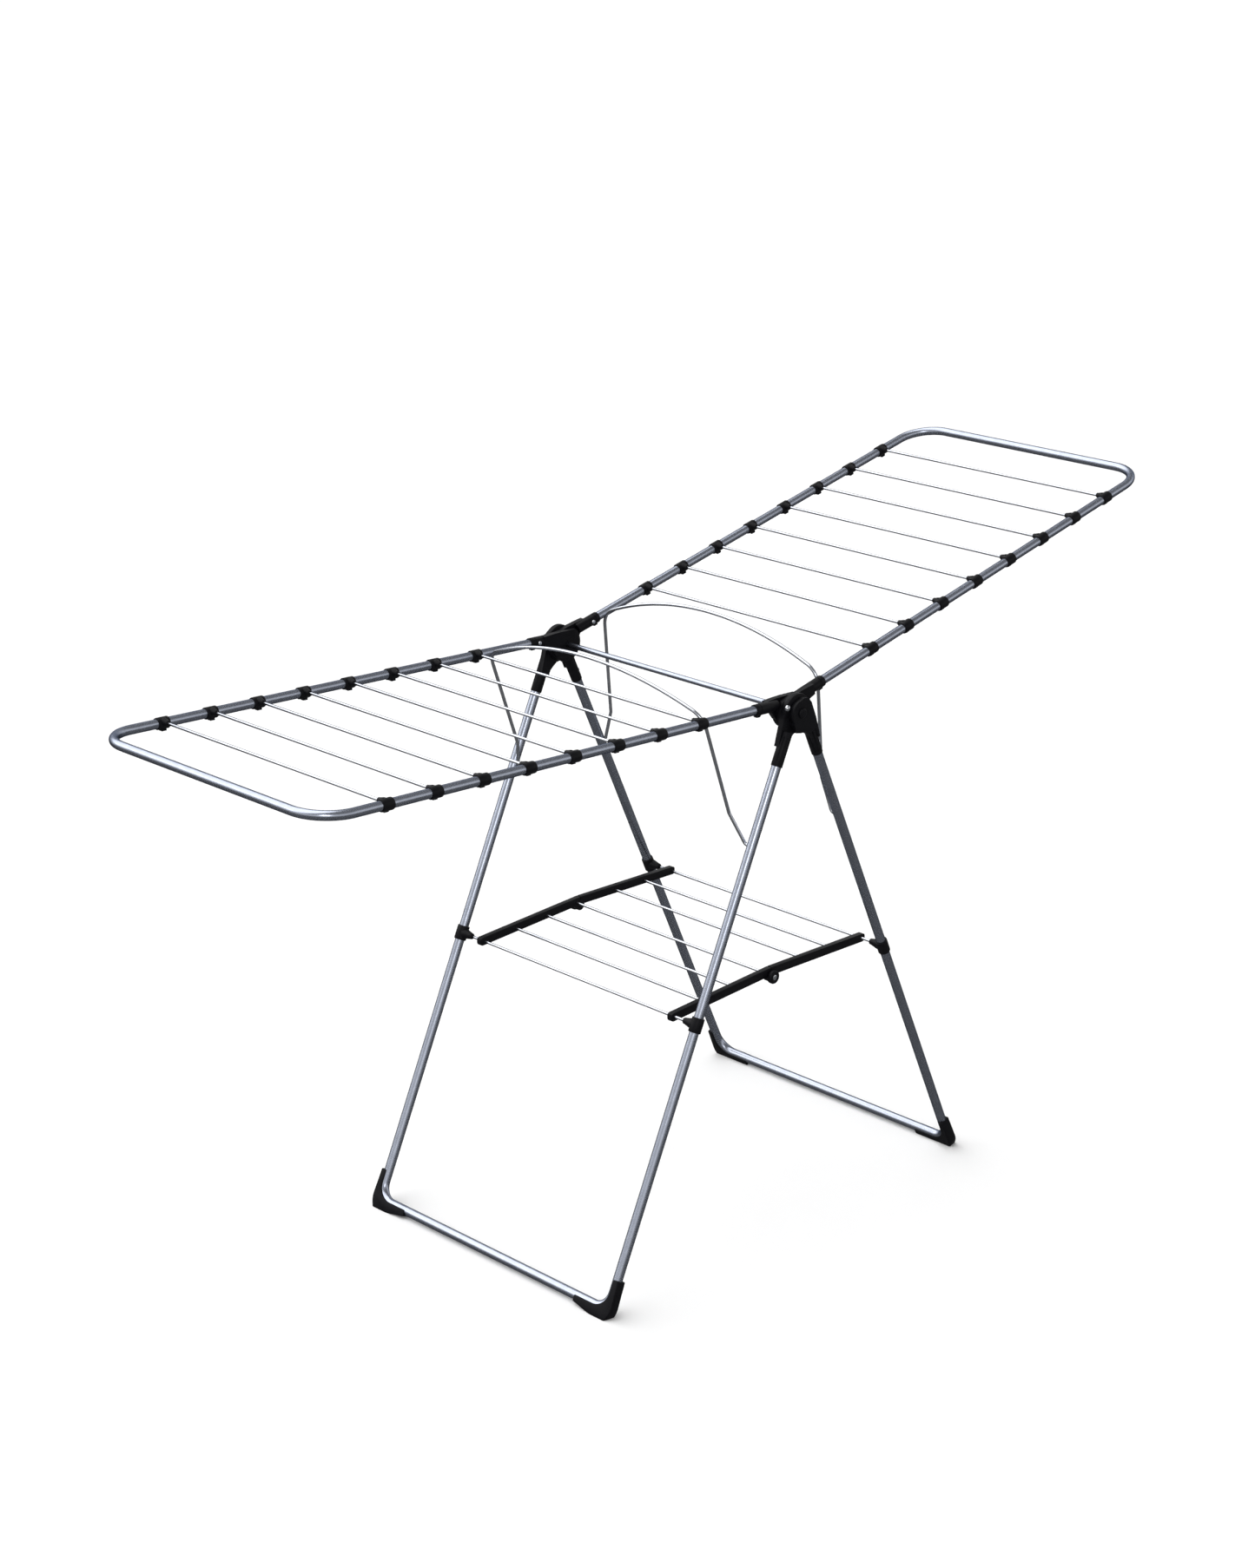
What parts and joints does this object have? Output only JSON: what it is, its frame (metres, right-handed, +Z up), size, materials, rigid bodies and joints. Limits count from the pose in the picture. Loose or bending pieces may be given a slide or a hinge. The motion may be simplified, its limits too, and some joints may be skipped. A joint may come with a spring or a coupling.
{
  "type": "clothes drying rack",
  "caption": "Folding clothes drying rack with two rod-filled tube wings, wire stays, U-shaped legs that close like scissors, and a folding lower shelf.",
  "frame": {"origin": "centre of the bounding box in plan, at floor level", "axes": "+X along the rack from the low wing to the raised wing, +Y across the rack along the hinge bar, +Z up"},
  "size_m": [2.0337, 0.6076, 1.2057],
  "materials": {
    "tube": "satin silver-grey coated steel tube",
    "wire": "bright thin steel rod",
    "plastic": "near-black moulded plastic, satin",
    "rivet": "bright rivet head"
  },
  "bodies": {
    "hub": {"hinge_bar": "tube", "hinge_cap_near": "plastic", "hinge_cap_far": "plastic"},
    "front_legs": {"front_leg_frame": "tube", "front_leg_bracket_near": "plastic", "front_leg_shelf_clamp_near": "plastic", "front_leg_bracket_far": "plastic", "front_leg_shelf_clamp_far": "plastic", "front_leg_foot_cap_near": "plastic", "front_leg_foot_cap_far": "plastic", "bracket_rivet_near": "rivet", "bracket_rivet_far": "rivet"},
    "rear_legs": {"rear_leg_frame": "tube", "rear_leg_bracket_near": "plastic", "rear_leg_shelf_clamp_near": "plastic", "rear_leg_bracket_far": "plastic", "rear_leg_shelf_clamp_far": "plastic", "rear_leg_foot_cap_near": "plastic", "rear_leg_foot_cap_far": "plastic"},
    "left_wing": {"left_wing_frame": "tube", "left_wing_rod_1": "wire", "left_wing_rod_2": "wire", "left_wing_rod_3": "wire", "left_wing_rod_4": "wire", "left_wing_rod_5": "wire", "left_wing_rod_6": "wire", "left_wing_rod_7": "wire", "left_wing_rod_8": "wire", "left_wing_bracket_near": "plastic", "left_wing_bracket_far": "plastic"},
    "left_stay": {"left_stay": "wire"},
    "right_wing": {"right_wing_frame": "tube", "right_wing_rod_1": "wire", "right_wing_rod_2": "wire", "right_wing_rod_3": "wire", "right_wing_rod_4": "wire", "right_wing_rod_5": "wire", "right_wing_rod_6": "wire", "right_wing_rod_7": "wire", "right_wing_rod_8": "wire", "right_wing_bracket_near": "plastic", "right_wing_bracket_far": "plastic"},
    "right_stay": {"right_stay": "wire"},
    "shelf_front": {"shelf_front_rail_near": "plastic", "shelf_knob_near": "plastic", "shelf_front_rail_far": "plastic", "shelf_knob_far": "plastic", "shelf_front_rod_1": "wire", "shelf_front_rod_2": "wire", "shelf_front_rod_3": "wire", "shelf_front_rod_4": "wire"},
    "shelf_rear": {"shelf_rear_rail_near": "plastic", "shelf_rear_rail_far": "plastic", "shelf_rear_rod_1": "wire", "shelf_rear_rod_2": "wire", "shelf_rear_rod_3": "wire"}
  },
  "joints": [
    {"name": "legs_close", "type": "hinge", "parent": "hub", "child": "front_legs", "pos_m": [0.01166, 0, 0.965], "axis": [0, -1, 0], "range_deg": [0, 20]},
    {"name": "rear_legs_close", "type": "hinge", "parent": "hub", "child": "rear_legs", "pos_m": [0.01166, 0, 0.965], "axis": [0, 1, 0], "range_deg": [0, 20]},
    {"name": "left_wing_fold", "type": "hinge", "parent": "front_legs", "child": "left_wing", "pos_m": [0.01166, 0, 0.965], "axis": [0, -1, 0], "range_deg": [0, 63.9]},
    {"name": "left_stay_turn", "type": "hinge", "parent": "front_legs", "child": "left_stay", "pos_m": [-0.09888, 0, 0.7539], "axis": [0, 1, 0], "range_deg": [0, 38.2]},
    {"name": "right_wing_fold", "type": "hinge", "parent": "rear_legs", "child": "right_wing", "pos_m": [0.01166, 0, 0.965], "axis": [0, 1, 0], "range_deg": [0, 73.1]},
    {"name": "right_stay_turn", "type": "hinge", "parent": "rear_legs", "child": "right_stay", "pos_m": [0.1222, 0, 0.7539], "axis": [0, -1, 0], "range_deg": [0, 13.3]},
    {"name": "shelf_front_lift", "type": "hinge", "parent": "front_legs", "child": "shelf_front", "pos_m": [-0.23071, 0, 0.4686], "axis": [0, -1, 0], "range_deg": [0, 56.2]},
    {"name": "shelf_middle_fold", "type": "hinge", "parent": "shelf_front", "child": "shelf_rear", "pos_m": [0.01166, 0, 0.4686], "axis": [0, 1, 0], "range_deg": [0, 152.4]}
  ],
  "couplings": [
    {"joint": "rear_legs_close", "follows": "legs_close", "ratio": 1},
    {"joint": "shelf_front_lift", "follows": "legs_close", "ratio": 2.8081},
    {"joint": "shelf_middle_fold", "follows": "legs_close", "ratio": 7.6161},
    {"joint": "left_stay_turn", "follows": "left_wing_fold", "ratio": 0.5962},
    {"joint": "right_stay_turn", "follows": "right_wing_fold", "ratio": 0.1806}
  ]
}
